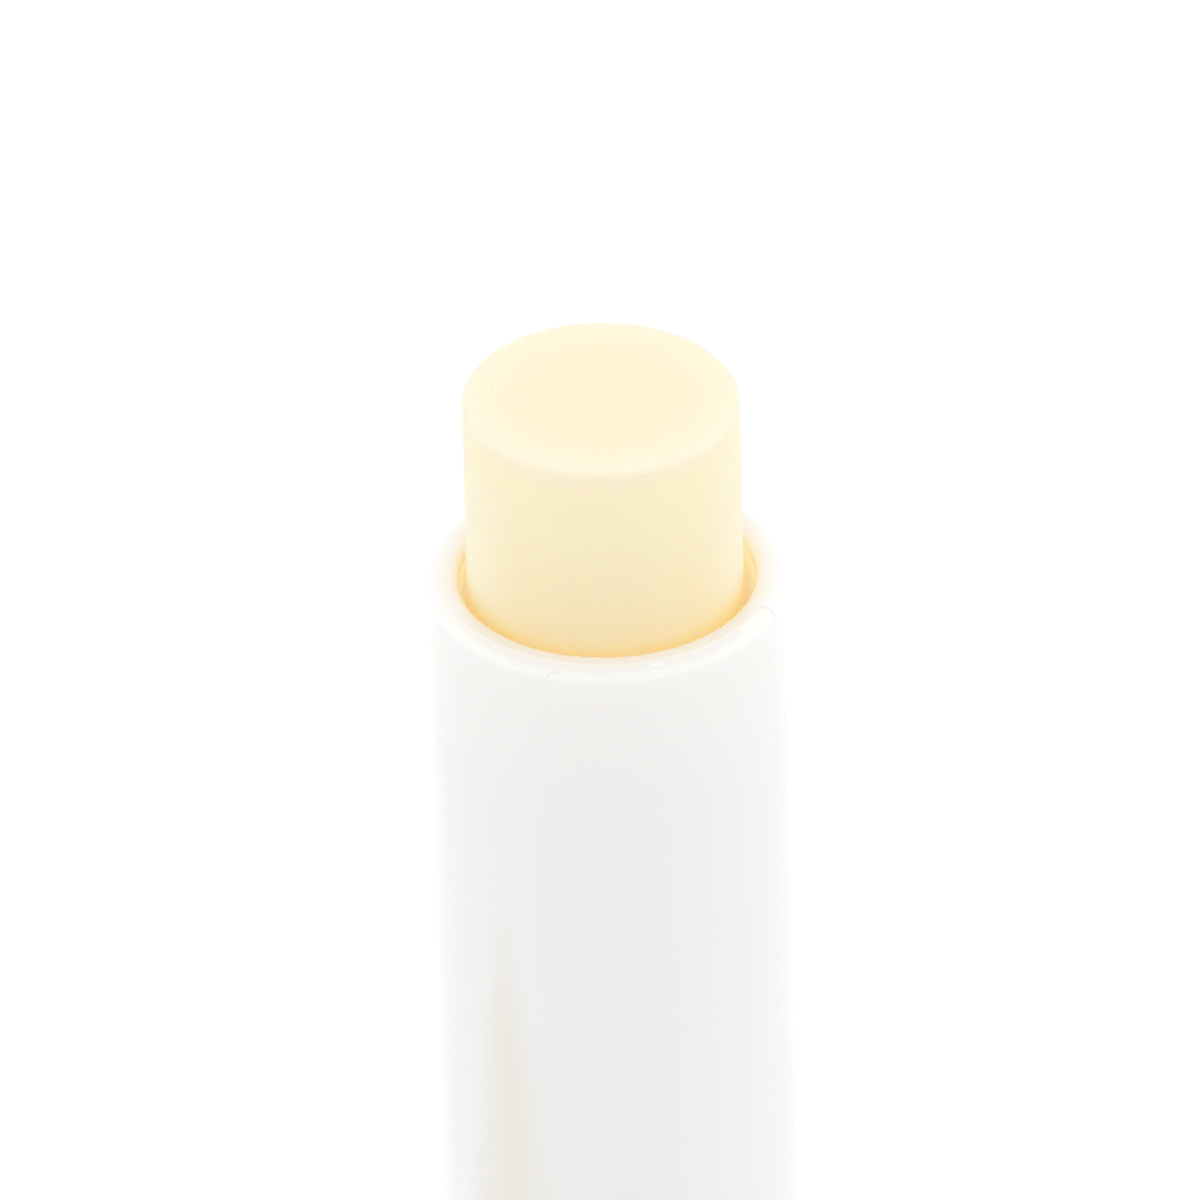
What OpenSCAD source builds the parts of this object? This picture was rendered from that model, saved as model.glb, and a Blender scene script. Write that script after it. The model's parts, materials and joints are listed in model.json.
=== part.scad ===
// Lip balm stick without its cap: a white barrel with a long neck, a turning wheel moulded in one
// with its left-hand screw spindle, and a carrier that lifts the bullet of balm.
// Millimetres. +Z runs from the wheel to the balm. The origin is the centre of the wheel's base.

/* [Neck and bore] */
// Outer diameter of the neck that a cap slides over
neck_d = 15; // [14:0.1:18]
// Wall of the neck, which sets the bore
neck_wall = 1.4; // [1.15:0.05:1.8]
// Length of the neck from the shoulder to the rim
neck_h = 36.5; // [28:0.5:42]
// Rounding of the rim on the outside
rim_round_out = 0.5; // [0.2:0.05:0.55]
// Rounding of the rim on the inside
rim_round_in = 0.5; // [0.2:0.05:0.55]
// How far the snap bead stands out of the neck
bead_proud = 0.15; // [0.05:0.05:0.3]
// Radius of the snap bead's section
bead_r = 0.6; // [0.4:0.05:0.9]
// Height of the snap bead's middle above the shoulder
bead_rise = 2.5; // [1.5:0.1:5]

/* [Barrel body] */
// Width of the shoulder ring on which a cap stops
shoulder_w = 1.5; // [1.1:0.05:2.5]
// Height of the body from its foot to the shoulder
body_h = 23.7; // [18:0.1:36]
// Rounding of the shoulder's outer edge
shoulder_round = 0.35; // [0.1:0.05:0.6]
// Wall of the body's outer skirt
skirt_wall = 1; // [0.8:0.05:1.2]
// Wall of the inner tube below the shoulder
tube_wall = 1.1; // [0.8:0.05:1.2]
// Thickness of the plate that joins skirt and tube at the shoulder
shoulder_t = 1.3; // [1:0.1:2.5]
// Number of stiffening webs between skirt and tube
web_count = 8; // [4:2:12]
// Thickness of each stiffening web
web_t = 0.8; // [0.5:0.1:1.2]
// Height of the webs' lower ends above the body's foot
web_rise = 3; // [1:0.5:8]
// How far the inner tube reaches down into the wheel
spigot_h = 1.5; // [0.8:0.1:2]
// Height of the barrel floor's underside above the body's foot
floor_rise = 0.8; // [0.5:0.1:1.5]
// Thickness of the barrel's floor
floor_t = 1.5; // [1:0.1:2.5]

/* [Guide ribs] */
// Number of guide ribs in the bore
rib_count = 6; // [3:1:8]
// Width of each guide rib
rib_w = 0.9; // [0.6:0.05:1.3]
// Clearance from the ribs to the balm and to the carrier's notches
rib_clear = 0.08; // [0.05:0.01:0.12]

/* [Turning wheel] */
// Height of the turning wheel
wheel_h = 8; // [6.5:0.1:12]
// Gap between the wheel and the barrel's foot
wheel_gap = 0.3; // [0.2:0.05:0.6]
// Wall of the wheel's rim
wheel_wall = 1.35; // [1.1:0.05:1.45]
// Thickness of the wheel's floor
wheel_floor = 1.5; // [1:0.1:2]
// Rounding of the wheel's upper and lower edges
wheel_round = 0.4; // [0.2:0.05:0.6]
// Number of grip flutes
flute_count = 40; // [24:1:56]
// Depth of each grip flute
flute_depth = 0.22; // [0.1:0.01:0.3]
// Radius of each grip flute's section
flute_r = 0.42; // [0.35:0.01:0.5]
// Diameter of the shallow recess under the wheel
recess_d = 12; // [8:0.1:13]
// Depth of the recess under the wheel
recess_h = 0.3; // [0.1:0.05:0.5]
// Number of webs inside the wheel
spoke_count = 6; // [3:1:8]
// Thickness of each web inside the wheel
spoke_t = 0.9; // [0.6:0.1:1.3]

/* [Spindle] */
// Diameter of the spindle's journal in the barrel's floor
journal_d = 6.9; // [6.4:0.05:8]
// Radial running clearance of the journal
journal_clear = 0.05; // [0.02:0.01:0.1]
// Diameter of the thrust flange under the barrel's floor
thrust_d = 9.2; // [8.8:0.1:11]
// Thickness of the thrust flange
thrust_t = 1.5; // [1:0.1:2.2]
// Axial play of the spindle in the barrel's floor
axial_play = 0.15; // [0.1:0.01:0.2]
// How far the snap ring stands out of the journal
snap_proud = 0.3; // [0.15:0.05:0.4]
// Height of the snap ring's cone
snap_h = 1.2; // [0.8:0.1:2]

/* [Screw thread] */
// Outer diameter of the thread
crest_d = 4; // [3.6:0.05:4.6]
// Depth of the thread
thread_depth = 0.6; // [0.4:0.05:0.75]
// Rise of the carrier for each turn
lead = 3.2; // [2.6:0.1:4]
// Clearance between the spindle's thread and the carrier's, square to the axis
thread_clear = 0.15; // [0.12:0.01:0.2]
// Distance from the rim down to the top of the thread
thread_drop = 7.5; // [6:0.1:12]
// Length of the plain tip above the thread
tip_h = 0.8; // [0.4:0.1:1.5]
// Step from the thread's root in to the plain tip
tip_step = 0.08; // [0.06:0.01:0.15]
// Width of the flat ring that the thread rises from, on top of the snap ring's cone
seat_step = 0.2; // [0.1:0.05:0.6]

/* [Carrier] */
// Gap between the carrier's flange and the bore
flange_gap = 0.12; // [0.08:0.01:0.2]
// Thickness of the flange, which is also the cup's floor
flange_t = 1.2; // [0.8:0.1:2]
// Height of the cup over the flange
cup_h = 5.3; // [3.5:0.1:8]
// Wall of the cup
cup_wall = 0.65; // [0.5:0.05:0.9]
// How far the cup's side lies inside the balm's side
cup_step = 0.1; // [0.05:0.01:0.2]
// Wall of the threaded hub
hub_wall = 1.05; // [0.8:0.05:1.3]
// Height of the threaded hub over the flange
hub_h = 4.8; // [3.5:0.1:7]
// Number of fins that key the balm
fin_count = 4; // [2:1:6]
// Thickness of each fin
fin_t = 0.7; // [0.5:0.1:1]
// Height of the fins over the flange
fin_h = 3; // [1.5:0.1:4.5]
// Height of the carrier above the snap ring when fully wound down
low_gap = 0.2; // [0.1:0.05:0.5]
// Length of thread that still holds the carrier when fully raised
last_grip = 3; // [2:0.1:4.5]

/* [Balm] */
// Gap between the balm and the bore
balm_gap = 0.35; // [0.3:0.01:0.5]
// Height of the balm's top above the rim, as it stands
balm_rise = 8.65; // [1:0.05:20]
// Depth of the balm's top below the rim when fully wound down
balm_sunk = 1.7; // [1:0.1:4]
// Rounding of the balm's upper edge
balm_round = 0.3; // [0.15:0.05:0.8]
// Depth of the dish in the balm's top
dish_h = 0.2; // [0.05:0.05:0.5]
// Clearance between the balm's bore and the thread
balm_bore_clear = 0.12; // [0.1:0.01:0.3]
// Gap between the spindle's tip and the end of the balm's bore
balm_bore_end = 0.4; // [0.2:0.1:1]

/* [Hidden] */
$fn = 96;
flute_fn = 32;
dish_fn = 720;
// How far pieces of one moulding reach into each other, and cuts reach past a face.
bite = 0.3;

neck_r = neck_d / 2;
bore_r = neck_r - neck_wall;
body_r = neck_r + shoulder_w;
skirt_in_r = body_r - skirt_wall;
tube_r = bore_r + tube_wall;
balm_r = bore_r - balm_gap;
rib_r = balm_r + rib_clear;
flange_r = bore_r - flange_gap;
cup_r = balm_r - cup_step;
cup_in_r = cup_r - cup_wall;

foot_z = wheel_h + wheel_gap;
floor_z = foot_z + floor_rise;
shoulder_z = foot_z + body_h;
rim_z = shoulder_z + neck_h;

journal_r = journal_d / 2;
snap_z = floor_z + floor_t + axial_play;
snap_r = journal_r + snap_proud;
thrust_z = floor_z - axial_play;

crest_r = crest_d / 2;
root_r = crest_r - thread_depth;
seat_r = crest_r + seat_step;
thread_top_z = rim_z - thread_drop;
tip_z = thread_top_z + tip_h;
hub_r = crest_r + thread_clear + hub_wall;

carrier_low_z = snap_z + snap_h + low_gap;
carrier_high_z = thread_top_z - last_grip;
rib_top_z = carrier_high_z + flange_t + rib_clear;
balm_h = rim_z - balm_sunk - carrier_low_z - flange_t;
carrier_z = rim_z + balm_rise - balm_h - flange_t;

// The thread's section turns once per lead. These shares of a turn are its crest and its two flanks.
crest_share = 0.2;
flank_share = 0.11;
crest_steps = 4;
root_steps = 9;
steps_per_turn = 12;
step_h = lead / steps_per_turn;
step_slack = 0.001;
// The thread starts inside the snap ring's cone, a whole number of steps below its top.
thread_z = thread_top_z - ceil((thread_top_z - snap_z - snap_h + bite) / step_h) * step_h;

// A wall in section, from r_in to r_out, with a rounded upper edge on each side.
module rounded_wall(r_in, r_out, z_low, z_high, round_in, round_out) {
    translate([r_in, z_low]) square([r_out - r_in, z_high - z_low - max(round_in, round_out)]);
    translate([r_in, z_low]) square([r_out - r_in - round_out, z_high - z_low - round_in]);
    translate([r_in + round_in, z_low]) square([r_out - r_in - round_in, z_high - z_low - round_out]);
    translate([r_in + round_in, z_low]) square([r_out - r_in - round_in - round_out, z_high - z_low]);
    if (round_in > 0) translate([r_in + round_in, z_high - round_in]) circle(round_in);
    if (round_out > 0) translate([r_out - round_out, z_high - round_out]) circle(round_out);
}

// A plain ring in section.
module ring(r_in, r_out, z_low, z_high) {
    translate([r_in, z_low]) square([r_out - r_in, z_high - z_low]);
}

// Copies of a radial plate of thickness t, from radius r_in to r_out.
module radial_plates(count, t, r_in, r_out, z_low, z_high) {
    for (i = [0 : count - 1])
        rotate(i * 360 / count)
            translate([r_in, -t / 2, z_low]) cube([r_out - r_in, t, z_high - z_low]);
}

// One turn of the thread's section: crest, flank, root and flank, left-hand as it rises.
function thread_point(r, share) = [r * cos(share * 360), r * sin(share * 360)];

function thread_section(root, crest, widen) =
    let (half = crest_share / 2 + widen, foot = half + flank_share)
    concat(
        [for (i = [0 : crest_steps]) thread_point(crest, -half + 2 * half * i / crest_steps)],
        [for (i = [0 : root_steps]) thread_point(root, foot + (1 - 2 * foot) * i / root_steps)]
    );

// The thread as a solid, from z_low to z_high, larger by clear across the axis and along it.
// Its steps stay in line with the spindle's own.
module thread(z_low, z_high, clear) {
    first = floor((z_low - thread_z) / step_h + step_slack);
    steps = ceil((z_high - thread_z) / step_h - step_slack) - first;
    step_turn = 360 / steps_per_turn;
    translate([0, 0, thread_z + first * step_h])
        rotate(-first * step_turn)
            linear_extrude(height = steps * step_h, twist = steps * step_turn, slices = steps, segments = 1)
                polygon(thread_section(root_r + clear, crest_r + clear, clear / lead));
}

// Guide rib in the bore, with a sloped upper end that eases the carrier on.
module guide_rib() {
    rib_proud = bore_r - rib_r;
    rotate([90, 0, 0])
        linear_extrude(height = rib_w, center = true)
            polygon([
                [rib_r, floor_z + floor_t - bite],
                [bore_r + bite, floor_z + floor_t - bite],
                [bore_r + bite, rib_top_z + rib_proud],
                [bore_r, rib_top_z + rib_proud],
                [rib_r, rib_top_z]
            ]);
}

module barrel() {
    color([0.95, 0.95, 0.94])
    union() {
        rotate_extrude() {
            rounded_wall(bore_r, neck_r, shoulder_z - shoulder_t, rim_z, rim_round_in, rim_round_out);
            ring(bore_r, tube_r, foot_z - spigot_h, shoulder_z - shoulder_t / 2);
            rounded_wall(neck_r - bite, body_r, shoulder_z - shoulder_t, shoulder_z, 0, shoulder_round);
            ring(skirt_in_r, body_r, foot_z, shoulder_z - shoulder_round);
            ring(journal_r + journal_clear, bore_r + bite, floor_z, floor_z + floor_t);
            translate([neck_r + bead_proud - bead_r, shoulder_z + bead_rise]) circle(bead_r);
        }
        for (i = [0 : rib_count - 1]) rotate(i * 360 / rib_count) guide_rib();
        radial_plates(web_count, web_t, tube_r - bite, skirt_in_r + bite,
            foot_z + web_rise, shoulder_z - shoulder_t + bite);
    }
}

// Solid disc with rounded edges and grip flutes, from which the wheel is hollowed.
module fluted_disc() {
    difference() {
        rotate_extrude() {
            ring(0, body_r - wheel_round, 0, wheel_h);
            ring(0, body_r, wheel_round, wheel_h - wheel_round);
            translate([body_r - wheel_round, wheel_round]) circle(wheel_round);
            translate([body_r - wheel_round, wheel_h - wheel_round]) circle(wheel_round);
        }
        for (i = [0 : flute_count - 1])
            rotate((i + 0.5) * 360 / flute_count)
                translate([body_r - flute_depth + flute_r, 0, -bite])
                    cylinder(r = flute_r, h = wheel_h + 2 * bite, $fn = flute_fn);
    }
}

module turning_wheel() {
    wheel_in_r = body_r - wheel_wall;
    thrust_r = thrust_d / 2;
    spoke_top_z = foot_z - spigot_h - axial_play - wheel_gap;
    color([0.95, 0.95, 0.94])
    union() {
        difference() {
            fluted_disc();
            translate([0, 0, wheel_floor]) cylinder(r = wheel_in_r, h = wheel_h);
            translate([0, 0, -bite]) cylinder(r = recess_d / 2, h = recess_h + bite);
        }
        rotate_extrude() {
            ring(0, journal_r, wheel_floor - bite, snap_z);
            ring(0, thrust_r, thrust_z - thrust_t, thrust_z);
            polygon([[0, snap_z], [snap_r, snap_z], [seat_r, snap_z + snap_h], [0, snap_z + snap_h]]);
        }
        radial_plates(spoke_count, spoke_t, journal_r - bite, wheel_in_r + bite,
            wheel_floor - bite, spoke_top_z);
        thread(thread_z, thread_top_z, 0);
        translate([0, 0, thread_top_z]) cylinder(r = root_r - tip_step, h = tip_h);
    }
}

module carrier() {
    color([0.97, 0.96, 0.92])
    difference() {
        translate([0, 0, carrier_z]) {
            rotate_extrude() {
                ring(0, flange_r, 0, flange_t);
                ring(cup_in_r, cup_r, 0, flange_t + cup_h);
                ring(0, hub_r, 0, flange_t + hub_h);
            }
            radial_plates(fin_count, fin_t, hub_r - bite, cup_in_r + bite,
                flange_t - bite, flange_t + fin_h);
        }
        // Notches that run on the guide ribs.
        radial_plates(rib_count, rib_w + 2 * rib_clear, balm_r, bore_r,
            carrier_z - bite, carrier_z + flange_t + bite);
        thread(carrier_z - bite, carrier_z + flange_t + hub_h + bite, thread_clear);
    }
}

module balm() {
    foot = carrier_z + flange_t;
    top = foot + balm_h;
    lip_r = balm_r - balm_round;
    dish_r = (lip_r * lip_r + dish_h * dish_h) / (2 * dish_h);
    bore_end = tip_z + balm_bore_end + carrier_z - carrier_low_z;
    color([0.99, 0.94, 0.8])
    difference() {
        rotate_extrude() {
            difference() {
                union() {
                    rounded_wall(0, balm_r, foot + cup_h, top, 0, balm_round);
                    ring(0, cup_in_r, foot, foot + cup_h + bite);
                }
                translate([0, top - dish_h + dish_r]) circle(dish_r, $fn = dish_fn);
                ring(0, crest_r + balm_bore_clear, foot - bite, bore_end);
                ring(0, hub_r, foot - bite, foot + hub_h);
            }
        }
        radial_plates(fin_count, fin_t, hub_r - bite, cup_in_r + bite, foot - bite, foot + fin_h);
    }
}

barrel();
turning_wheel();
carrier();
balm();
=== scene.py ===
import json
from math import atan2, cos, degrees, hypot, pi, radians, sin, sqrt

import bmesh
import bpy
from mathutils import Matrix, Vector, noise


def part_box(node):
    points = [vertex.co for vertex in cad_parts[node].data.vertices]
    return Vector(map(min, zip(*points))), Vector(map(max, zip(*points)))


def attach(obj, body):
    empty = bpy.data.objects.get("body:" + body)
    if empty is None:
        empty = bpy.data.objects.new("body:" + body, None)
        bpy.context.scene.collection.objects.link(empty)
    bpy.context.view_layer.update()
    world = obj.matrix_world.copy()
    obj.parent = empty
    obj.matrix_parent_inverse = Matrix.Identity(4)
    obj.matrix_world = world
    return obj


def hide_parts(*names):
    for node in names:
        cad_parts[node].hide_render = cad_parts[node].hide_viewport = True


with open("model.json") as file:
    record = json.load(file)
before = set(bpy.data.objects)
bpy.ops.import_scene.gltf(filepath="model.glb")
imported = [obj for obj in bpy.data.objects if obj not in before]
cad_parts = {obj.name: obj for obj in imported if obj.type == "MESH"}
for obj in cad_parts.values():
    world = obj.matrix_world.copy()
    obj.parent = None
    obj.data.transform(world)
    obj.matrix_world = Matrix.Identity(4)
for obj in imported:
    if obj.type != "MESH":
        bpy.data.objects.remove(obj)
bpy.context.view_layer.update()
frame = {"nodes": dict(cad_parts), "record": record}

# Barrel. One glossy white polypropylene moulding: a long neck with a softly rounded rim, a snap bead and
# shoulder for a cap, a double-walled body, and guide ribs in the bore. The wheel snaps into its floor.
mm = 0.001
neck_mount = next(mount for mount in frame["record"]["mounts"] if mount["name"] == "cap_neck")
neck_r = neck_mount["dims"]["r_mm"] * mm
plain_neck_h = neck_mount["dims"]["length_mm"] * mm
barrel_low, barrel_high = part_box("barrel")
rim_z = barrel_high.z
body_r = barrel_high.x
spigot_z = barrel_low.z
neck_wall = 1.4 * mm
bore_r = neck_r - neck_wall
rim_round = 0.5 * mm
bead_r = 0.6 * mm
bead_proud = 0.15 * mm
bead_mid_r = neck_r + bead_proud - bead_r
bead_reach = sqrt(bead_r ** 2 - (neck_r - bead_mid_r) ** 2)
bead_z = neck_mount["pos_m"][2] - plain_neck_h / 2 - bead_reach
shoulder_z = bead_z - 2.5 * mm
shoulder_t = 1.3 * mm
shoulder_round = 0.35 * mm
root_round = 0.2 * mm
skirt_in_r = body_r - 1 * mm
tube_r = bore_r + 1.1 * mm
foot_z = spigot_z + 1.5 * mm
foot_round = 0.15 * mm
floor_z = foot_z + 0.8 * mm
floor_top_z = floor_z + 1.5 * mm
floor_hole_r = 3.5 * mm
rib_count = 6
rib_r = 5.83 * mm
rib_w = 0.9 * mm
rib_top_z = rim_z - 9.2 * mm
web_count = 8
web_w = 0.8 * mm
web_low_z = foot_z + 3 * mm
sunk = 0.3 * mm
weld = 0.0005 * mm
sharp_turn = radians(32)
round_steps = 10
neck_steps = 12
body_steps = 8
barrel_steps = 240


def arc(mid_r, mid_z, radius, start, end, steps=round_steps):
    """Points of an arc in section, from one angle to another in degrees; 0 points outwards, 90 up."""
    turns = [radians(start + (end - start) * i / steps) for i in range(steps + 1)]
    return [(mid_r + radius * cos(turn), mid_z + radius * sin(turn)) for turn in turns]


def straight(start, end, steps):
    """Points that divide a straight stretch of an outline, without its two ends."""
    return [(start[0] + (end[0] - start[0]) * i / steps, start[1] + (end[1] - start[1]) * i / steps)
            for i in range(1, steps)]


def turned(outline, steps, closed):
    """A bmesh turned about the stick's axis from an outline of radius and height."""
    bm = bmesh.new()
    verts = [bm.verts.new((r, 0, z)) for r, z in outline]
    edges = [bm.edges.new(pair) for pair in zip(verts, verts[1:])]
    if closed:
        edges.append(bm.edges.new((verts[-1], verts[0])))
    bmesh.ops.spin(bm, geom=verts + edges, cent=(0, 0, 0), axis=(0, 0, 1), angle=2 * pi, steps=steps,
                   use_merge=True)
    bmesh.ops.remove_doubles(bm, verts=bm.verts, dist=weld)
    bmesh.ops.recalc_face_normals(bm, faces=bm.faces)
    return bm


def radial_plates(bm, count, width, in_r, out_r, low_z, high_z):
    """Adds plates that stand round the axis, each a closed box."""
    size = Matrix.Diagonal((out_r - in_r, width, high_z - low_z, 1))
    place = Matrix.Translation(((in_r + out_r) / 2, 0, (low_z + high_z) / 2))
    for i in range(count):
        turn = Matrix.Rotation(2 * pi * i / count, 4, "Z")
        bmesh.ops.create_cube(bm, size=1, matrix=turn @ place @ size)


def made_object(bm, name):
    """The finished mesh as an object, smooth but for its sharp edges."""
    for face in bm.faces:
        face.smooth = True
    for edge in bm.edges:
        edge.smooth = not (edge.is_manifold and edge.calc_face_angle() > sharp_turn)
    mesh = bpy.data.meshes.new(name)
    bm.to_mesh(mesh)
    bm.free()
    piece = bpy.data.objects.new(name, mesh)
    bpy.context.scene.collection.objects.link(piece)
    return piece


def joined(piece, tool_bm, operation):
    """Adds a bmesh to a piece, or cuts it away, and shades the result again."""
    tool = made_object(tool_bm, piece.name + "_tool")
    change = piece.modifiers.new("moulded", "BOOLEAN")
    change.operation = operation
    change.solver = "EXACT"
    change.object = tool
    drawn = piece.evaluated_get(bpy.context.evaluated_depsgraph_get())
    bm = bmesh.new()
    bm.from_mesh(drawn.to_mesh())
    name = piece.name
    bpy.data.objects.remove(tool)
    bpy.data.objects.remove(piece)
    return made_object(bm, name)


bead_turn = degrees(atan2(bead_reach, neck_r - bead_mid_r))
barrel_outline = (
    [(bore_r, floor_top_z)]
    + straight((bore_r, floor_top_z), (bore_r, rim_z - rim_round), neck_steps)
    + arc(bore_r + rim_round, rim_z - rim_round, rim_round, 180, 90)
    + arc(neck_r - rim_round, rim_z - rim_round, rim_round, 90, 0)
    + straight((neck_r, rim_z - rim_round), (neck_r, bead_z + bead_reach), neck_steps)
    + arc(bead_mid_r, bead_z, bead_r, bead_turn, -bead_turn)
    + arc(neck_r + root_round, shoulder_z + root_round, root_round, 180, 270)
    + arc(body_r - shoulder_round, shoulder_z - shoulder_round, shoulder_round, 90, 0)
    + straight((body_r, shoulder_z - shoulder_round), (body_r, foot_z + foot_round), body_steps)
    + arc(body_r - foot_round, foot_z + foot_round, foot_round, 0, -90)
    + [(skirt_in_r, foot_z), (skirt_in_r, shoulder_z - shoulder_t), (tube_r, shoulder_z - shoulder_t)]
    + [(tube_r, spigot_z), (bore_r, spigot_z), (bore_r, floor_z), (floor_hole_r, floor_z)]
    + [(floor_hole_r, floor_top_z)]
)
barrel = made_object(turned(barrel_outline, barrel_steps, closed=True), "barrel_moulding")
barrel_plates = bmesh.new()
radial_plates(barrel_plates, rib_count, rib_w, rib_r, bore_r + sunk, floor_top_z - sunk, rib_top_z)
radial_plates(barrel_plates, web_count, web_w, tube_r - sunk, skirt_in_r + sunk, web_low_z,
              shoulder_z - shoulder_t + sunk)
barrel = joined(barrel, barrel_plates, "UNION")
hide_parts("barrel")
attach(barrel, "barrel")


def new_material(name):
    """A new material, with its node tree and its Principled shader."""
    material = bpy.data.materials.new(name)
    material.use_nodes = True
    tree = material.node_tree
    return material, tree, tree.nodes["Principled BSDF"]


def add_node(tree, kind, **values):
    """Adds a shader node; words that name one of its inputs set it, the others set the node."""
    node = tree.nodes.new("ShaderNode" + kind)
    for word, value in values.items():
        socket = node.inputs.get(word.replace("_", " ").title())
        if socket is None:
            setattr(node, word, value)
        else:
            socket.default_value = value
    return node


def white_plastic(name, tint):
    """Glossy white polypropylene: slightly see-through, with faint flow waves left by the mould."""
    material, tree, shader = new_material(name)
    shader.inputs["Base Color"].default_value = (*tint, 1)
    shader.inputs["Roughness"].default_value = 0.16
    shader.inputs["IOR"].default_value = 1.49
    shader.inputs["Subsurface Weight"].default_value = 1.0
    shader.inputs["Subsurface Radius"].default_value = (1.0, 0.94, 0.86)
    shader.inputs["Subsurface Scale"].default_value = 1 * mm
    place = add_node(tree, "TexCoord")
    waves = add_node(tree, "TexNoise", scale=220.0, detail=2.0)
    grain = add_node(tree, "TexNoise", scale=5200.0, detail=3.0)
    wave_bump = add_node(tree, "Bump", strength=0.06, distance=0.4 * mm)
    grain_bump = add_node(tree, "Bump", strength=0.05, distance=0.02 * mm)
    tree.links.new(place.outputs["Object"], waves.inputs["Vector"])
    tree.links.new(place.outputs["Object"], grain.inputs["Vector"])
    tree.links.new(waves.outputs["Fac"], wave_bump.inputs["Height"])
    tree.links.new(grain.outputs["Fac"], grain_bump.inputs["Height"])
    tree.links.new(wave_bump.outputs["Normal"], grain_bump.inputs["Normal"])
    tree.links.new(grain_bump.outputs["Normal"], shader.inputs["Normal"])
    return material


def ramped(tree, source, start, end):
    """An output that goes smoothly from 0 where the source is start to 1 where it is end."""
    ramp = add_node(tree, "MapRange", interpolation_type="SMOOTHSTEP")
    ramp.inputs["From Min"].default_value = start
    ramp.inputs["From Max"].default_value = end
    tree.links.new(source, ramp.inputs["Value"])
    return ramp.outputs["Result"]


def axis_reach(tree, place):
    """Outputs that give how far a point is from the stick's axis, and its X, Y and Z."""
    parts = add_node(tree, "SeparateXYZ")
    flat = add_node(tree, "CombineXYZ")
    reach = add_node(tree, "VectorMath", operation="LENGTH")
    tree.links.new(place.outputs["Object"], parts.inputs[0])
    tree.links.new(parts.outputs["X"], flat.inputs["X"])
    tree.links.new(parts.outputs["Y"], flat.inputs["Y"])
    tree.links.new(flat.outputs[0], reach.inputs[0])
    return reach.outputs["Value"], parts.outputs


def mixed(tree, share, under, over):
    """A colour that goes from under to over; each is a colour or another node's output."""
    mix = add_node(tree, "Mix", data_type="RGBA")
    tree.links.new(share, mix.inputs[0])
    for socket, colour in ((mix.inputs[6], under), (mix.inputs[7], over)):
        if isinstance(colour, tuple):
            socket.default_value = (*colour, 1)
        else:
            tree.links.new(colour, socket)
    return mix.outputs[2]


def worked(tree, operation, *values):
    """The output of a maths node; each value is a number or another node's output."""
    node = add_node(tree, "Math", operation=operation)
    for socket, value in zip(node.inputs, values):
        if isinstance(value, (int, float)):
            socket.default_value = value
        else:
            tree.links.new(value, socket)
    return node.outputs[0]


def band(tree, source, start, full_start, full_end, end):
    """An output that is 1 between its two middle values and fades smoothly to 0 at its ends."""
    rise = ramped(tree, source, start, full_start)
    fall = ramped(tree, source, end, full_end)
    return worked(tree, "MULTIPLY", rise, fall)


def spot(tree, place, level, centre, turn, half_size):
    """A soft-edged spot, 1 inside and 0 outside: its middle in mm from a level, its turn and half sizes."""
    core = 0.4
    room = add_node(tree, "Mapping", vector_type="TEXTURE")
    room.inputs["Location"].default_value = Vector(centre) * mm + Vector((0, 0, level))
    room.inputs["Rotation"].default_value = [radians(part) for part in turn]
    room.inputs["Scale"].default_value = Vector(half_size) * mm
    reach = add_node(tree, "VectorMath", operation="LENGTH")
    tree.links.new(place.outputs["Object"], room.inputs["Vector"])
    tree.links.new(room.outputs[0], reach.inputs[0])
    return ramped(tree, reach.outputs["Value"], 1, core)


shell_white = (0.89, 0.895, 0.89)
barrel_white = white_plastic("barrel_white", shell_white)
barrel_tree = barrel_white.node_tree
barrel_place = add_node(barrel_tree, "TexCoord")
barrel_reach, barrel_parts = axis_reach(barrel_tree, barrel_place)
barrel_height = barrel_parts["Z"]

# A faint beige stain runs down the neck, narrow at its top and wider below, and fades out above the bead.
stain_beige = (0.865, 0.832, 0.765)
stain_turn = radians(-128.5)
stain_top_z = rim_z - 9.8 * mm
stain_end_z = bead_z + 4 * mm
stain_h = 16 * mm
stain_half_turn = 0.39
stain_full_share = 0.7
least_share = 0.01
around = worked(barrel_tree, "ARCTAN2", barrel_parts["Y"], barrel_parts["X"])
off_stain = worked(barrel_tree, "ABSOLUTE", worked(barrel_tree, "SUBTRACT", around, stain_turn))
down_stain = worked(barrel_tree, "SUBTRACT", stain_top_z, barrel_height)
down_stain = worked(barrel_tree, "DIVIDE", down_stain, stain_h)
stain_wide = worked(barrel_tree, "MAXIMUM", down_stain, least_share)
stain_wide = worked(barrel_tree, "MULTIPLY", stain_wide, stain_half_turn)
stain_across = ramped(barrel_tree, worked(barrel_tree, "DIVIDE", off_stain, stain_wide), 1, 0)
stain_top = ramped(barrel_tree, down_stain, 0, stain_full_share)
stain_end = ramped(barrel_tree, barrel_height, bead_z, stain_end_z)
stain_share = worked(barrel_tree, "MULTIPLY", stain_across, stain_top)
stain_share = worked(barrel_tree, "MULTIPLY", stain_share, stain_end)
barrel_colour = mixed(barrel_tree, stain_share, shell_white, stain_beige)

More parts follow.
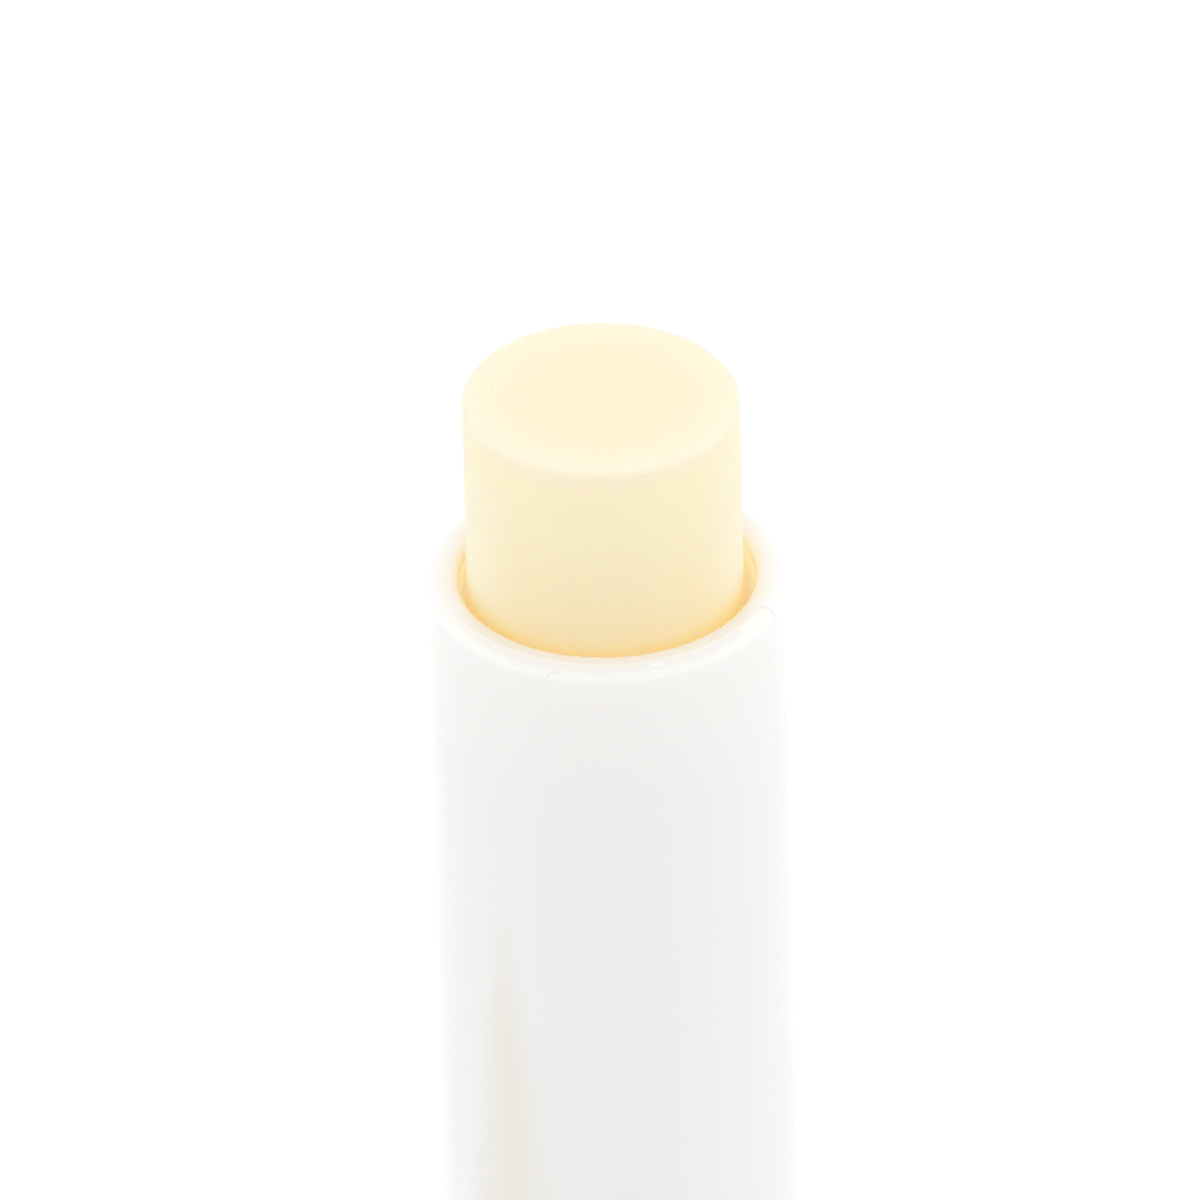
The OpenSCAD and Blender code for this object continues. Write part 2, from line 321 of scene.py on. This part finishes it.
# The rim's top is painted with light: cream for the balm's warm light reflected onto it, paler on its outer
# rounding, with a painted highlight line round it, and white at its two sides where that warm light fades. A
# painted highlight runs round just below it, and a film of balm, with painted warm light from the balm,
# tints its inner edge.
# Painted reflected light: warm cream on the rim's top, paler on its outer rounding.
rim_reflection_cream = (0.845, 0.83, 0.8)
rim_outer_reflection_pale = (0.835, 0.83, 0.81)
# Painted highlight: a pale line round the rim's top.
highlight_line_pale = (0.885, 0.88, 0.865)
# Painted highlight: a bright line round the rim's outer edge.
edge_highlight_white = (0.935, 0.93, 0.91)
# A film of balm on the bore's inner edge, with painted warm light reflected from the balm.
film_and_reflection_cream = (1.0, 0.95, 0.78)
edge_highlight_depths = (0.62 * mm, 0.5 * mm, 0.4 * mm, 0.27 * mm)
highlight_line_insets = (0.6 * mm, 0.47 * mm, 0.47 * mm, 0.34 * mm)
rim_side = worked(barrel_tree, "ABSOLUTE", barrel_parts["X"])
rim_side_share = ramped(barrel_tree, rim_side, 5 * mm, 6.8 * mm)
rim_out_share = ramped(barrel_tree, barrel_reach, neck_r - 0.55 * mm, neck_r - 0.35 * mm)
rim_top_share = ramped(barrel_tree, barrel_height, rim_z - 0.3 * mm, rim_z - 0.05 * mm)
film_and_reflection_share = ramped(barrel_tree, barrel_reach, bore_r + 0.45 * mm, bore_r - 0.05 * mm)
edge_highlight_band = band(barrel_tree, barrel_height, *(rim_z - depth for depth in edge_highlight_depths))
highlight_line_band = band(barrel_tree, barrel_reach, *(neck_r - inset for inset in highlight_line_insets))
rim_colour = mixed(barrel_tree, rim_out_share, rim_reflection_cream, rim_outer_reflection_pale)
rim_colour = mixed(barrel_tree, highlight_line_band, rim_colour, highlight_line_pale)
rim_colour = mixed(barrel_tree, rim_side_share, rim_colour, shell_white)
barrel_colour = mixed(barrel_tree, edge_highlight_band, barrel_colour, edge_highlight_white)
barrel_colour = mixed(barrel_tree, rim_top_share, barrel_colour, rim_colour)
barrel_colour = mixed(barrel_tree, film_and_reflection_share, barrel_colour, film_and_reflection_cream)

# Small marks from handling: a grey nick and a hair-fine scratch on the neck's rim, and a grey speck halfway
# down it.
# Painted highlights too: bright glints on the rim's top and outer edge. Each has its middle in mm, from the
# rim up, its turn and its half sizes.
nick_grey = (0.76, 0.79, 0.8)
scratch_grey = (0.76, 0.76, 0.75)
speck_grey = (0.8, 0.8, 0.79)
# Painted highlights: glints on the rim's top and outer edge.
glint_white = (0.95, 0.945, 0.93)
neck_marks_and_glints = (
    (nick_grey, (6.62, -3.0, -0.3), (0, 52, 0), (0.66, 0.15, 0.35)),
    (scratch_grey, (-2.5, -7.04, -0.37), (0, -43, 0), (0.26, 0.3, 0.032)),
    (scratch_grey, (-2.24, -7.11, -0.3), (0, 25, 0), (0.22, 0.3, 0.032)),
    (scratch_grey, (-2.12, -7.05, -0.2), (0, 58, 0), (0.22, 0.35, 0.032)),
    (glint_white, (2.0, -6.97, -0.08), (0, 0, 9), (0.4, 0.07, 0.15)),
    (glint_white, (1.86, -7.19, -0.25), (0, 0, 13), (0.3, 0.09, 0.1)),
    (glint_white, (1.81, -7.26, -0.53), (0, 0, 14), (0.6, 0.15, 0.1)),
    (glint_white, (5.74, -4.25, -0.04), (0, 0, 57), (0.65, 0.2, 0.22)),
    (speck_grey, (-6.95, -2.81, -18.6), (0, 0, 0), (0.12, 0.12, 0.12)),
)
for mark_and_glint_colour, centre, turn, half_size in neck_marks_and_glints:
    mark_and_glint_share = spot(barrel_tree, barrel_place, rim_z, centre, turn, half_size)
    barrel_colour = mixed(barrel_tree, mark_and_glint_share, barrel_colour, mark_and_glint_colour)
barrel_tree.links.new(barrel_colour, barrel_tree.nodes["Principled BSDF"].inputs["Base Color"])
barrel.data.materials.clear()
barrel.data.materials.append(barrel_white)

# The bore's mouth has a weak light of its own, for the light that soaks through the thin neck into the
# narrow gap round the balm.
soak_tint = (0.72, 1.0, 1.0, 1)
soak_strength = 0.14
soak_h = 6 * mm
wall_reach = 0.02 * mm
bore_white = barrel_white.copy()
bore_white.name = "bore_white"
bore_shader = bore_white.node_tree.nodes["Principled BSDF"]
bore_shader.inputs["Emission Color"].default_value = soak_tint
bore_shader.inputs["Emission Strength"].default_value = soak_strength
barrel.data.materials.append(bore_white)
for face in barrel.data.polygons:
    corners = [barrel.data.vertices[i].co for i in face.vertices]
    on_wall = all(abs(hypot(corner.x, corner.y) - bore_r) < wall_reach for corner in corners)
    if on_wall and min(corner.z for corner in corners) > rim_z - soak_h:
        face.material_index = 1

# Turning wheel. The fluted wheel at the foot, one polypropylene moulding with its left-hand screw spindle,
# which snaps through the barrel's floor and raises the carrier as it turns.
wheel_top_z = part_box("turning_wheel")[1].z
wheel_h = foot_z - 0.3 * mm
wheel_round = 0.4 * mm
wheel_round_steps = 6
wheel_wall_steps = 4
wheel_in_r = body_r - 1.35 * mm
wheel_floor = 1.5 * mm
recess_r = 6 * mm
recess_h = 0.3 * mm
flute_count = 40
flute_r = 0.42 * mm
flute_depth = 0.22 * mm
flute_steps = 12
spoke_count = 6
spoke_w = 0.9 * mm
spoke_top_z = spigot_z - 0.45 * mm
journal_r = 3.45 * mm
thrust_r = 4.6 * mm
thrust_t = 1.5 * mm
axial_play = 0.15 * mm
snap_z = floor_top_z + axial_play
snap_r = journal_r + 0.3 * mm
snap_h = 1.2 * mm
seat_r = 2.2 * mm
crest_r = 2 * mm
root_r = 1.4 * mm
lead = 3.2 * mm
crest_share = 0.2
flank_share = 0.11
thread_points = 24
thread_steps = 24
tip_h = 0.8 * mm
tip_r = 1.32 * mm
tip_steps = 24
thread_top_z = wheel_top_z - tip_h


def flute_wall(turn):
    """Radius of the fluted wall at an angle, in plan."""
    pitch = 2 * pi / flute_count
    off = (turn / pitch) % 1 - 0.5
    mid_r = body_r - flute_depth + flute_r
    side = mid_r * sin(off * pitch)
    if abs(side) >= flute_r:
        return body_r
    return mid_r * cos(off * pitch) - sqrt(flute_r ** 2 - side ** 2)


thrust_z = floor_z - axial_play
wheel_outline = (
    [(0, recess_h), (recess_r, recess_h), (recess_r, 0)]
    + arc(body_r - wheel_round, wheel_round, wheel_round, -90, 0, wheel_round_steps)
    + straight((body_r, wheel_round), (body_r, wheel_h - wheel_round), wheel_wall_steps)
    + arc(body_r - wheel_round, wheel_h - wheel_round, wheel_round, 0, 90, wheel_round_steps)
    + [(wheel_in_r, wheel_h), (wheel_in_r, wheel_floor), (journal_r, wheel_floor)]
    + [(journal_r, thrust_z - thrust_t), (thrust_r, thrust_z - thrust_t), (thrust_r, thrust_z)]
    + [(journal_r, thrust_z), (journal_r, snap_z), (snap_r, snap_z), (seat_r, snap_z + snap_h)]
    + [(0, snap_z + snap_h)]
)
wheel_bm = turned(wheel_outline, flute_count * flute_steps, closed=False)
for vert in wheel_bm.verts:
    far = hypot(vert.co.x, vert.co.y)
    if far > wheel_in_r + sunk:
        near = min(far, flute_wall(atan2(vert.co.y, vert.co.x)))
        vert.co.x *= near / far
        vert.co.y *= near / far
wheel = made_object(wheel_bm, "wheel_moulding")
wheel_plates = bmesh.new()
radial_plates(wheel_plates, spoke_count, spoke_w, journal_r - sunk, wheel_in_r + sunk, wheel_floor - sunk,
              spoke_top_z)
wheel = joined(wheel, wheel_plates, "UNION")


def thread_radius(share):
    """Radius of the thread's section at a share of a turn from the middle of its crest."""
    off = abs((share + 0.5) % 1 - 0.5)
    slope = min(max((off - crest_share / 2) / flank_share, 0), 1)
    return crest_r + (root_r - crest_r) * slope


thread_low_z = snap_z + snap_h - sunk
thread_turns = (thread_top_z - thread_low_z) / lead
spindle = bmesh.new()
top_loop = []
for i in range(thread_points):
    turn = -2 * pi * i / thread_points
    r = thread_radius(i / thread_points + thread_turns)
    top_loop.append(spindle.verts.new((r * cos(turn), r * sin(turn), thread_top_z)))
thread_edges = [spindle.edges.new(pair) for pair in zip(top_loop, top_loop[1:] + top_loop[:1])]
thread_spin_steps = int(thread_turns * thread_steps)
swept = bmesh.ops.spin(spindle, geom=top_loop + thread_edges, cent=(0, 0, 0), axis=(0, 0, 1),
                       dvec=(0, 0, (thread_low_z - thread_top_z) / thread_spin_steps),
                       angle=2 * pi * thread_turns, steps=thread_spin_steps)
low_loop = [part for part in swept["geom_last"] if isinstance(part, bmesh.types.BMEdge)]
bmesh.ops.edgeloop_fill(spindle, edges=thread_edges)
bmesh.ops.edgeloop_fill(spindle, edges=low_loop)
bmesh.ops.create_cone(spindle, cap_ends=True, segments=tip_steps, radius1=tip_r, radius2=tip_r,
                      depth=tip_h + sunk,
                      matrix=Matrix.Translation((0, 0, thread_top_z + (tip_h - sunk) / 2)))
bmesh.ops.recalc_face_normals(spindle, faces=spindle.faces)
wheel = joined(wheel, spindle, "UNION")
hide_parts("turning_wheel")
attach(wheel, "wheel")
wheel.data.materials.clear()
wheel.data.materials.append(white_plastic("wheel_white", shell_white))

# Carrier. The small cup that holds the balm's foot, moulded in natural polypropylene. Its threaded hub
# climbs the spindle, and its notched flange keeps it from turning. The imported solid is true, and only gets
# its finish.
undyed_white = (0.84, 0.83, 0.78)
carrier = frame["nodes"]["carrier"]
carrier.data.materials.clear()
carrier.data.materials.append(white_plastic("carrier_natural", undyed_white))

# Balm. A cast bullet of wax and oil, poured into the carrier's cup round the spindle. Its top is dished and
# a little out of level, and the wax is soft, so its edge is rounded and its side faintly uneven.
balm_low, balm_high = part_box("balm")
balm_r = balm_high.x
balm_top_z = balm_high.z
balm_foot_z = balm_low.z
balm_round = 0.3 * mm
lip_r = balm_r - balm_round
dish_h = 0.2 * mm
cup_h = 5.3 * mm
cup_in_r = balm_r - 0.75 * mm
hub_r = 3.2 * mm
hub_h = 4.8 * mm
balm_bore_r = 2.12 * mm
balm_bore_z = balm_top_z - 4.7 * mm
fin_count = 4
fin_w = 0.7 * mm
fin_h = 3 * mm
top_tilt = radians(0.7)
tilt_h = 3 * mm
lean = 0.08 * mm
core_r = 1.2 * balm_bore_r
swell_share = 0.00175
swell_scale = 260
swell_squeeze = 0.6
dish_steps = 20
side_steps = 90
balm_steps = 256

dish_outline = [(lip_r * i / dish_steps, balm_top_z - dish_h * (1 - (i / dish_steps) ** 2))
                for i in range(dish_steps)]
balm_outline = (
    dish_outline
    + arc(lip_r, balm_top_z - balm_round, balm_round, 90, 0)
    + straight((balm_r, balm_top_z - balm_round), (balm_r, balm_foot_z + cup_h), side_steps)
    + [(balm_r, balm_foot_z + cup_h), (cup_in_r, balm_foot_z + cup_h), (cup_in_r, balm_foot_z)]
    + [(hub_r, balm_foot_z), (hub_r, balm_foot_z + hub_h), (balm_bore_r, balm_foot_z + hub_h)]
    + [(balm_bore_r, balm_bore_z), (0, balm_bore_z)]
)
balm_bm = turned(balm_outline, balm_steps, closed=False)
for vert in balm_bm.verts:
    near_top = min(max((vert.co.z - balm_top_z + tilt_h) / tilt_h, 0), 1)
    vert.co.z -= near_top * vert.co.x * sin(top_tilt)
    if vert.co.z > balm_foot_z + cup_h and hypot(vert.co.x, vert.co.y) > core_r:
        swell = noise.noise(Vector((vert.co.x, vert.co.y, vert.co.z * swell_squeeze)) * swell_scale)
        vert.co.xy *= 1 - swell_share * (1 + swell)
    above_ribs = min(max((vert.co.z - rib_top_z) / (rim_z - rib_top_z), 0), 1)
    vert.co.x -= lean * above_ribs
balm = made_object(balm_bm, "balm_bullet")
balm_slots = bmesh.new()
radial_plates(balm_slots, fin_count, fin_w, hub_r - sunk, cup_in_r + sunk, balm_foot_z - sunk,
              balm_foot_z + fin_h)
balm = joined(balm, balm_slots, "DIFFERENCE")
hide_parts("balm")
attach(balm, "lift")

wax, wax_tree, wax_shader = new_material("balm_cream")
wax_shader.inputs["Roughness"].default_value = 0.42
wax_shader.inputs["IOR"].default_value = 1.44
wax_shader.inputs["Subsurface Weight"].default_value = 0.45
wax_shader.inputs["Subsurface Radius"].default_value = (1.0, 0.5, 0.2)
wax_shader.inputs["Subsurface Scale"].default_value = 3 * mm
wax_place = add_node(wax_tree, "TexCoord")
wax_cloud = add_node(wax_tree, "TexNoise", scale=300.0, detail=3.0)
wax_reach, wax_parts = axis_reach(wax_tree, wax_place)
wax_height = wax_parts["Z"]

# The wax is a little clouded. Light and shade are painted over it: paler towards its top edge, on its upper
# side and on its flanks, and a deeper orange down its side to the bore's mouth.
cloud_light = (0.995, 0.848, 0.605)
cloud_deep = (0.985, 0.833, 0.58)
# Painted light: paler towards the top's edge.
edge_lit_cream = (1.0, 0.85, 0.675)
# Painted light: paler on the upper side under the top edge.
side_lit_cream = (1.0, 0.885, 0.61)
# Painted shade: a deeper orange down the side towards the bore's mouth.
side_shade_cream = (1.0, 0.81, 0.525)
# Painted light: paler on the flanks.
flank_lit_cream = (1.0, 0.89, 0.655)
# Painted shade: the deepest orange at the bore's mouth.
mouth_shade_cream = (0.985, 0.835, 0.53)
edge_light_share = ramped(wax_tree, wax_reach, 0.35 * balm_r, 1.02 * balm_r)
side_light_share = ramped(wax_tree, wax_height, balm_top_z - 0.3 * mm, balm_top_z - 1.3 * mm)
side_shade_share = ramped(wax_tree, wax_height, rim_z + 6.5 * mm, rim_z + 0.2 * mm)
mouth_shade_share = ramped(wax_tree, wax_height, rim_z + 1.1 * mm, rim_z - 0.3 * mm)
flank_share = ramped(wax_tree, worked(wax_tree, "ABSOLUTE", wax_parts["X"]), 0.6 * balm_r, balm_r)
flank_share = worked(wax_tree, "MULTIPLY", flank_share, side_light_share)
wax_colour = mixed(wax_tree, wax_cloud.outputs["Fac"], cloud_light, cloud_deep)
wax_colour = mixed(wax_tree, edge_light_share, wax_colour, edge_lit_cream)
wax_colour = mixed(wax_tree, side_light_share, wax_colour, side_lit_cream)
wax_colour = mixed(wax_tree, side_shade_share, wax_colour, side_shade_cream)
wax_colour = mixed(wax_tree, flank_share, wax_colour, flank_lit_cream)
wax_colour = mixed(wax_tree, mouth_shade_share, wax_colour, mouth_shade_cream)

# Two tiny specks lie in the balm's top.
speck_brown = (0.84, 0.7, 0.46)
speck_half_size = (0.07, 0.07, 0.6)
for centre in ((-4.55, 0.97, 0), (-2.45, -0.52, -0.15)):
    speck = spot(wax_tree, wax_place, balm_top_z, centre, (0, 0, 0), speck_half_size)
    wax_colour = mixed(wax_tree, speck, wax_colour, speck_brown)
wax_grain = add_node(wax_tree, "TexNoise", scale=3500.0, detail=4.0)
wax_swell = add_node(wax_tree, "TexNoise", scale=420.0, detail=2.0)
wax_swell_bump = add_node(wax_tree, "Bump", strength=0.12, distance=0.3 * mm)
wax_grain_bump = add_node(wax_tree, "Bump", strength=0.12, distance=0.03 * mm)
for texture in (wax_cloud, wax_grain, wax_swell):
    wax_tree.links.new(wax_place.outputs["Object"], texture.inputs["Vector"])
wax_tree.links.new(wax_colour, wax_shader.inputs["Base Color"])
wax_tree.links.new(wax_swell.outputs["Fac"], wax_swell_bump.inputs["Height"])
wax_tree.links.new(wax_grain.outputs["Fac"], wax_grain_bump.inputs["Height"])
wax_tree.links.new(wax_swell_bump.outputs["Normal"], wax_grain_bump.inputs["Normal"])
wax_tree.links.new(wax_grain_bump.outputs["Normal"], wax_shader.inputs["Normal"])
balm.data.materials.clear()
balm.data.materials.append(wax)

# Studio. A wide white floor that runs out of view, an even white sky, and large soft lamps on both sides and
# above. The floor lies just under the stick's foot.
floor_size = 6.0
floor_drop = 0.02 * mm
floor_white = (0.8, 0.8, 0.8, 1)
floor_lift = 0.3
floor_bm = bmesh.new()
bmesh.ops.create_grid(floor_bm, x_segments=1, y_segments=1, size=floor_size / 2,
                      matrix=Matrix.Translation((0, 0, -floor_drop)))
floor = made_object(floor_bm, "studio_floor")
floor_paint = bpy.data.materials.new("floor_white")
floor_paint.use_nodes = True
floor_tree = floor_paint.node_tree
floor_tree.nodes.clear()
floor_out = add_node(floor_tree, "OutputMaterial")
floor_matt = add_node(floor_tree, "BsdfDiffuse", color=floor_white)
floor_glow = add_node(floor_tree, "Emission", color=(1, 1, 1, 1))
floor_sum = add_node(floor_tree, "AddShader")
seen = add_node(floor_tree, "LightPath").outputs
floor_seen = worked(floor_tree, "MAXIMUM", seen["Is Camera Ray"], seen["Is Glossy Ray"])
floor_seen = worked(floor_tree, "MAXIMUM", floor_seen, seen["Is Transmission Ray"])
floor_tree.links.new(worked(floor_tree, "MULTIPLY", floor_seen, floor_lift), floor_glow.inputs["Strength"])
floor_tree.links.new(floor_matt.outputs[0], floor_sum.inputs[0])
floor_tree.links.new(floor_glow.outputs[0], floor_sum.inputs[1])
floor_tree.links.new(floor_sum.outputs[0], floor_out.inputs["Surface"])
floor.data.materials.append(floor_paint)

sky = bpy.data.worlds.new("studio_sky")
bpy.context.scene.world = sky
sky.use_nodes = True
sky_light = sky.node_tree.nodes["Background"]
sky_light.inputs["Color"].default_value = (1, 1, 1, 1)
sky_light.inputs["Strength"].default_value = 1.0


def soft_lamp(name, place, size, watts, tint):
    """A large soft square lamp that faces the stick's rim and isn't seen itself."""
    light = bpy.data.lights.new(name, "AREA")
    light.shape = "SQUARE"
    light.size = size
    light.energy = watts
    light.color = tint
    lamp = bpy.data.objects.new(name, light)
    bpy.context.scene.collection.objects.link(lamp)
    lamp.location = place
    lamp.rotation_mode = "QUATERNION"
    lamp.rotation_quaternion = (Vector(place) - Vector((0, 0, rim_z))).to_track_quat("Z", "Y")
    lamp.visible_camera = False


soft_lamp("top_lamp", place=(0.0, 0.25, 1.0), size=0.7, watts=0.32, tint=(1.0, 1.0, 1.0))
soft_lamp("right_lamp", place=(0.75, 0.0, 0.35), size=0.5, watts=0.57, tint=(0.97, 0.99, 1.0))
soft_lamp("left_lamp", place=(-0.75, 0.0, 0.35), size=0.5, watts=0.39, tint=(1.0, 0.99, 0.98))

# Camera. A long lens from in front and above, turned a little about its own line of sight. The neck's rim,
# just under its top, lies at a known pixel of the 1200 pixel picture.
picture_px = 1200
rim_px = (607.0, 575.0)
rim_depth = 0.22 * mm
px_per_neck_r = 181.32
camera_rise = radians(33.78)
camera_roll = radians(1.41)
camera_far = 1.5
camera = bpy.data.cameras.new("camera")
camera.sensor_width = 36
camera.lens = px_per_neck_r * camera_far / neck_r * camera.sensor_width / picture_px
camera.clip_start = 0.01
camera.clip_end = 20
camera_object = bpy.data.objects.new("camera", camera)
bpy.context.scene.collection.objects.link(camera_object)
back = Vector((0, -cos(camera_rise), sin(camera_rise)))
level_right = Vector((1, 0, 0))
level_up = back.cross(level_right)
up = level_up * cos(camera_roll) + level_right * sin(camera_roll)
right = up.cross(back)
metres_per_px = neck_r / px_per_neck_r
seen_mid = (Vector((0, 0, rim_z - rim_depth)) - right * (rim_px[0] - picture_px / 2) * metres_per_px
            - up * (picture_px / 2 - rim_px[1]) * metres_per_px)
axes = Matrix((right, up, back)).transposed()
camera_object.matrix_world = Matrix.Translation(seen_mid + back * camera_far) @ axes.to_4x4()
bpy.context.scene.camera = camera_object
bpy.context.scene.view_settings.view_transform = "Standard"

# Light bounces many times in the pale, narrow gap round the balm.
bpy.context.scene.cycles.diffuse_bounces = 24
bpy.context.scene.cycles.max_bounces = 32
